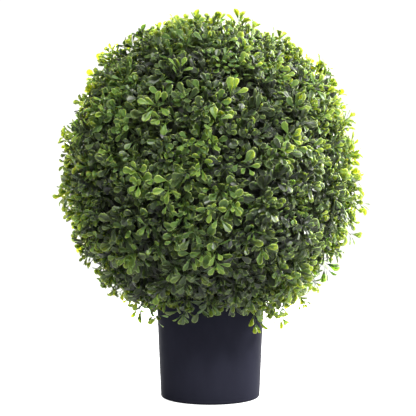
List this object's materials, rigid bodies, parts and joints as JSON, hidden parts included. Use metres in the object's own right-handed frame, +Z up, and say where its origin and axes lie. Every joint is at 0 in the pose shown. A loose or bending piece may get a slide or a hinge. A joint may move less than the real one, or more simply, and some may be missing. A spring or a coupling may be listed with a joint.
{
  "type": "artificial box topiary ball",
  "caption": "Clipped ball of small moulded box leaves on a short hidden stem, standing in a plain black plastic pot.",
  "frame": {"origin": "middle of the pot's flat underside", "axes": "+Z up through the pot and the ball, -Y towards the camera of the picture, +X to its right"},
  "size_m": [0.4907, 0.4878, 0.61],
  "materials": {
    "pot": "satin moulded plastic",
    "filling": "rough cast cement",
    "stem": "bare round wood",
    "foliage": "soft satin leaves"
  },
  "bodies": {
    "root": {"pot": "pot", "pot_filling": "filling", "stem": "stem", "foliage_ball": "foliage"}
  },
  "joints": []
}
